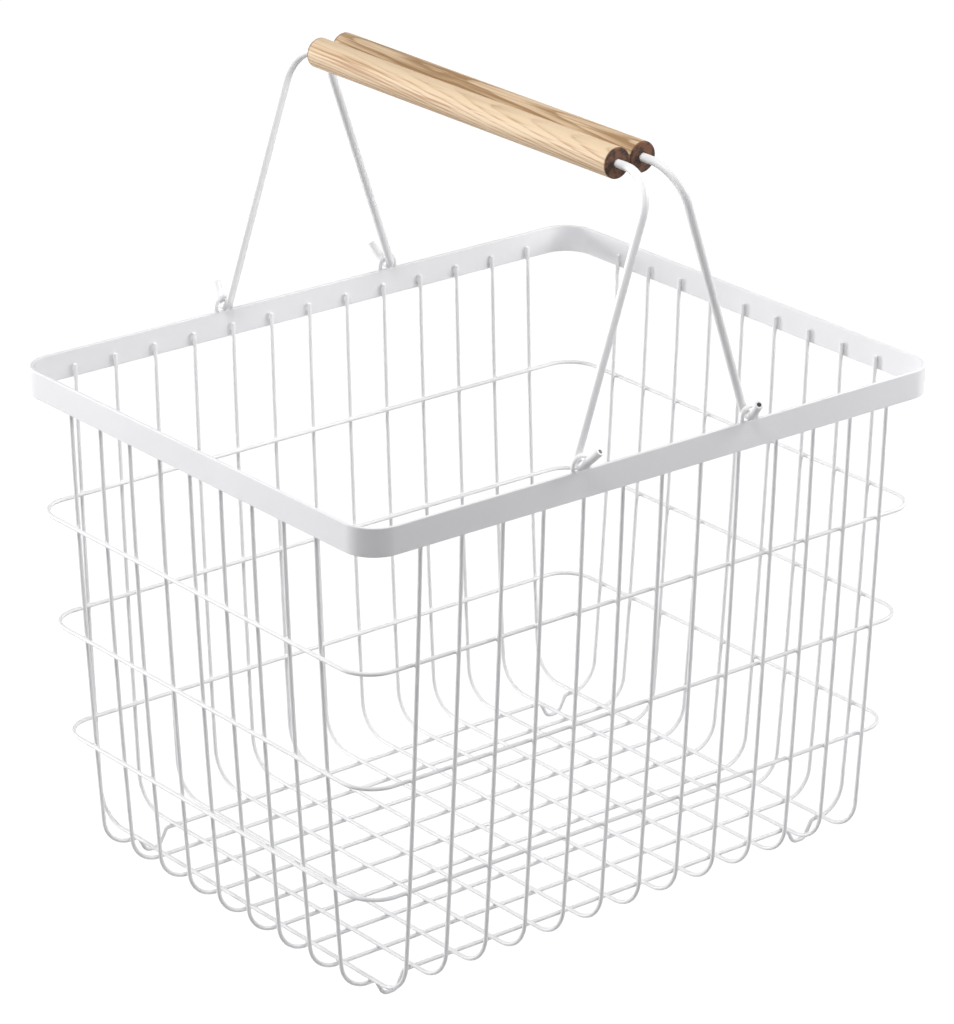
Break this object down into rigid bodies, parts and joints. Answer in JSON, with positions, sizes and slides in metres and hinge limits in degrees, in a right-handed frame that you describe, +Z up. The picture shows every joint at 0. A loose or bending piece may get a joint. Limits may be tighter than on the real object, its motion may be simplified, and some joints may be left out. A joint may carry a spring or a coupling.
{
  "type": "wire laundry basket",
  "caption": "Open-top welded wire basket with a flat strip rim, tapering walls, small bent-wire feet and two folding bail handles with turned wood grips.",
  "frame": {"origin": "on the ground under the middle of the basket, at the bottom of its four bent-wire feet", "axes": "+Z up; X along the basket's length, Y across it, along the grips and the handles' hinge axes"},
  "size_m": [0.42, 0.3608, 0.4777],
  "materials": {
    "white_coated_wire": "satin white powder coat on steel wire",
    "white_coated_band": "satin white powder coat on flat steel strip",
    "white_coated_rod": "satin white powder coat on steel rod",
    "pale_wood": "bare sanded wood with lengthwise grain and darker end grain"
  },
  "bodies": {
    "basket": {"rim_band": "white_coated_band", "crosswise_wire_01": "white_coated_wire", "crosswise_wire_02": "white_coated_wire", "crosswise_wire_03": "white_coated_wire", "crosswise_wire_04": "white_coated_wire", "crosswise_wire_05": "white_coated_wire", "crosswise_wire_06": "white_coated_wire", "crosswise_wire_07": "white_coated_wire", "crosswise_wire_08": "white_coated_wire", "crosswise_wire_09": "white_coated_wire", "crosswise_wire_10": "white_coated_wire", "crosswise_wire_11": "white_coated_wire", "crosswise_wire_12": "white_coated_wire", "crosswise_wire_13": "white_coated_wire", "lengthwise_wire_1": "white_coated_wire", "lengthwise_wire_2": "white_coated_wire", "lengthwise_wire_3": "white_coated_wire", "lengthwise_wire_4": "white_coated_wire", "lengthwise_wire_5": "white_coated_wire", "lengthwise_wire_6": "white_coated_wire", "lengthwise_wire_7": "white_coated_wire", "lengthwise_wire_8": "white_coated_wire", "lengthwise_wire_9": "white_coated_wire", "ring_1": "white_coated_wire", "ring_2": "white_coated_wire", "ring_3": "white_coated_wire", "staple_left_front": "white_coated_wire", "staple_left_back": "white_coated_wire", "staple_right_front": "white_coated_wire", "staple_right_back": "white_coated_wire"},
    "handle_left": {"handle_wire_left": "white_coated_rod"},
    "handle_right": {"handle_wire_right": "white_coated_rod"},
    "grip_left": {"grip_left": "pale_wood"},
    "grip_right": {"grip_right": "pale_wood"}
  },
  "joints": [
    {"name": "handle_left_swing", "type": "hinge", "parent": "basket", "child": "handle_left", "pos_m": [-0.062, 0, 0.31455], "axis": [0, 1, 0], "range_deg": [-108.9, 0]},
    {"name": "handle_right_swing", "type": "hinge", "parent": "basket", "child": "handle_right", "pos_m": [0.062, 0, 0.31455], "axis": [0, 1, 0], "range_deg": [0, 108.9]},
    {"name": "grip_left_spin", "type": "hinge", "parent": "handle_left", "child": "grip_left", "pos_m": [-0.00915, 0.0036, 0.46874], "axis": [0, 1, 0], "continuous": true},
    {"name": "grip_right_spin", "type": "hinge", "parent": "handle_right", "child": "grip_right", "pos_m": [0.00915, 0.0036, 0.46874], "axis": [0, 1, 0], "continuous": true}
  ]
}
